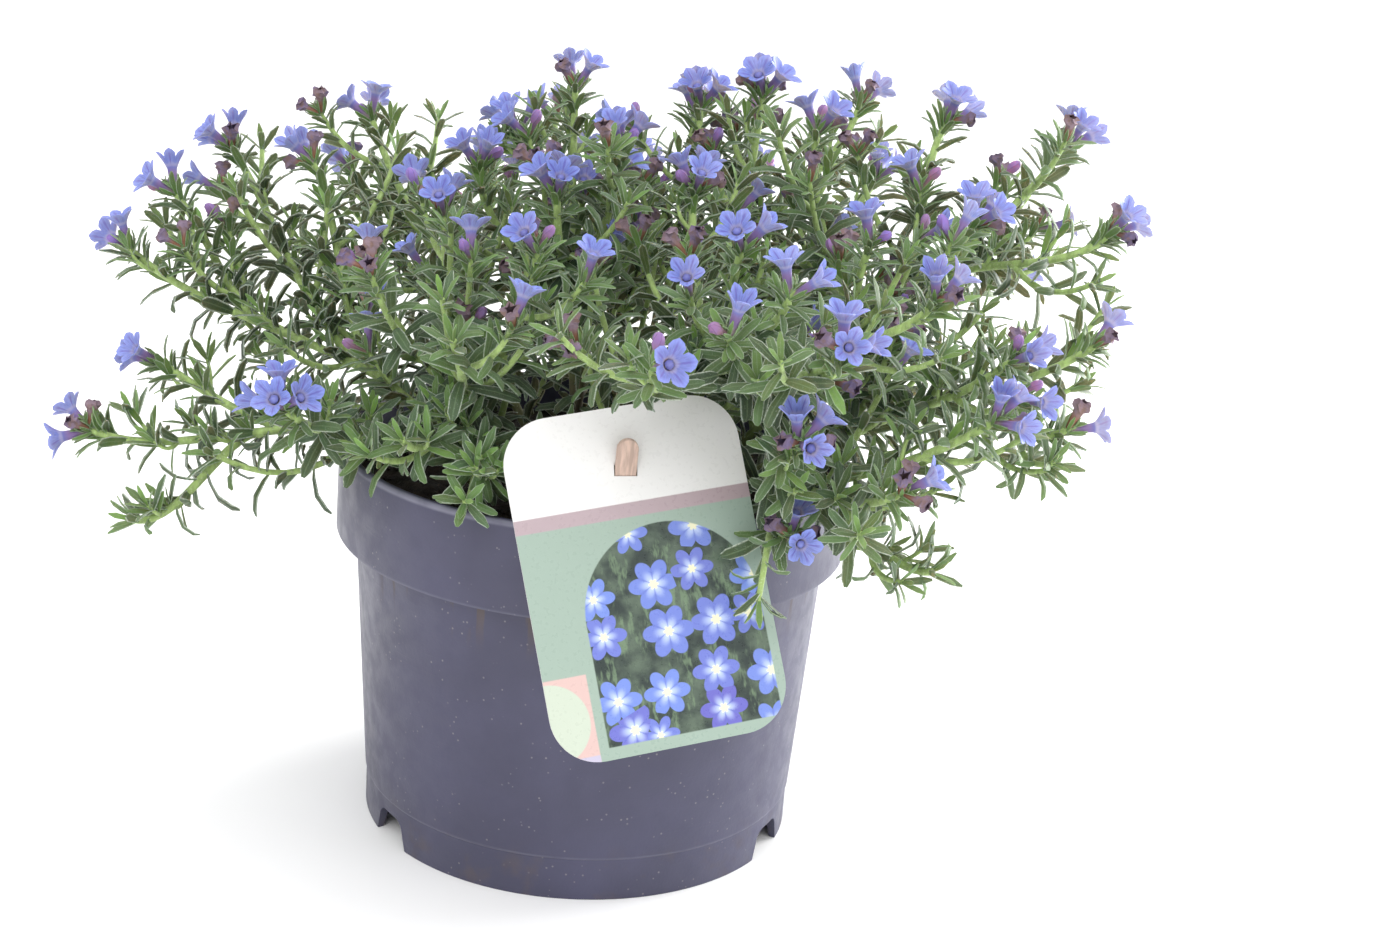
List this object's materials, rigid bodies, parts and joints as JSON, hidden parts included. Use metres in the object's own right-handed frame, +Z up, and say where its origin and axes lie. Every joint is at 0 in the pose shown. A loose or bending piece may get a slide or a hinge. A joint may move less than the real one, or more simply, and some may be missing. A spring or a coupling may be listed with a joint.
{
  "type": "potted lithodora",
  "caption": "Low spreading evergreen plant in bloom, with small blue funnel flowers at the ends of arching leafy stems, in a round nursery pot with soil and a plant label.",
  "frame": {"origin": "on the pot's axis, at the surface that the pot stands on", "axes": "+Z up, -Y to the front, where the label leans on the rim, +X to the right"},
  "size_m": [0.3534, 0.2785, 0.2579],
  "materials": {
    "pot_plastic": "satin",
    "potting_soil": "rough",
    "label_card": "satin",
    "peg": "smooth",
    "foliage": "rough",
    "petals": "soft"
  },
  "bodies": {
    "root": {"branch_back": "foliage", "branch_centre": "foliage", "branch_front_right": "foliage", "branch_front_right_low": "foliage", "branch_left": "foliage", "branch_left_back": "foliage", "branch_left_inner": "foliage", "branch_left_trailing": "foliage", "branch_right": "foliage", "branch_right_back": "foliage", "branch_right_low": "foliage", "flowers_back_1": "petals", "flowers_back_2": "petals", "flowers_back_3": "petals", "flowers_back_4": "petals", "flowers_centre_1": "petals", "flowers_centre_2": "petals", "flowers_centre_3": "petals", "flowers_centre_4": "petals", "flowers_centre_5": "petals", "flowers_front_right_1": "petals", "flowers_front_right_2": "petals", "flowers_front_right_3": "petals", "flowers_front_right_4": "petals", "flowers_front_right_5": "petals", "flowers_front_right_6": "petals", "flowers_front_right_low_2": "petals", "flowers_front_right_low_3": "petals", "flowers_front_right_low_4": "petals", "flowers_front_right_low_5": "petals", "flowers_left_1": "petals", "flowers_left_2": "petals", "flowers_left_3": "petals", "flowers_left_4": "petals", "flowers_left_back_1": "petals", "flowers_left_back_2": "petals", "flowers_left_back_3": "petals", "flowers_left_inner_1": "petals", "flowers_left_inner_2": "petals", "flowers_left_inner_3": "petals", "flowers_left_trailing_1": "petals", "flowers_left_trailing_2": "petals", "flowers_left_trailing_3": "petals", "flowers_right_1": "petals", "flowers_right_2": "petals", "flowers_right_3": "petals", "flowers_right_4": "petals", "flowers_right_back_1": "petals", "flowers_right_back_2": "petals", "flowers_right_back_3": "petals", "flowers_right_back_4": "petals", "flowers_right_low_1": "petals", "flowers_right_low_2": "petals", "flowers_right_low_3": "petals", "flowers_right_low_4": "petals", "flowers_right_low_5": "petals", "label": "label_card", "label_peg": "peg", "pot": "pot_plastic", "soil": "potting_soil"}
  },
  "joints": []
}
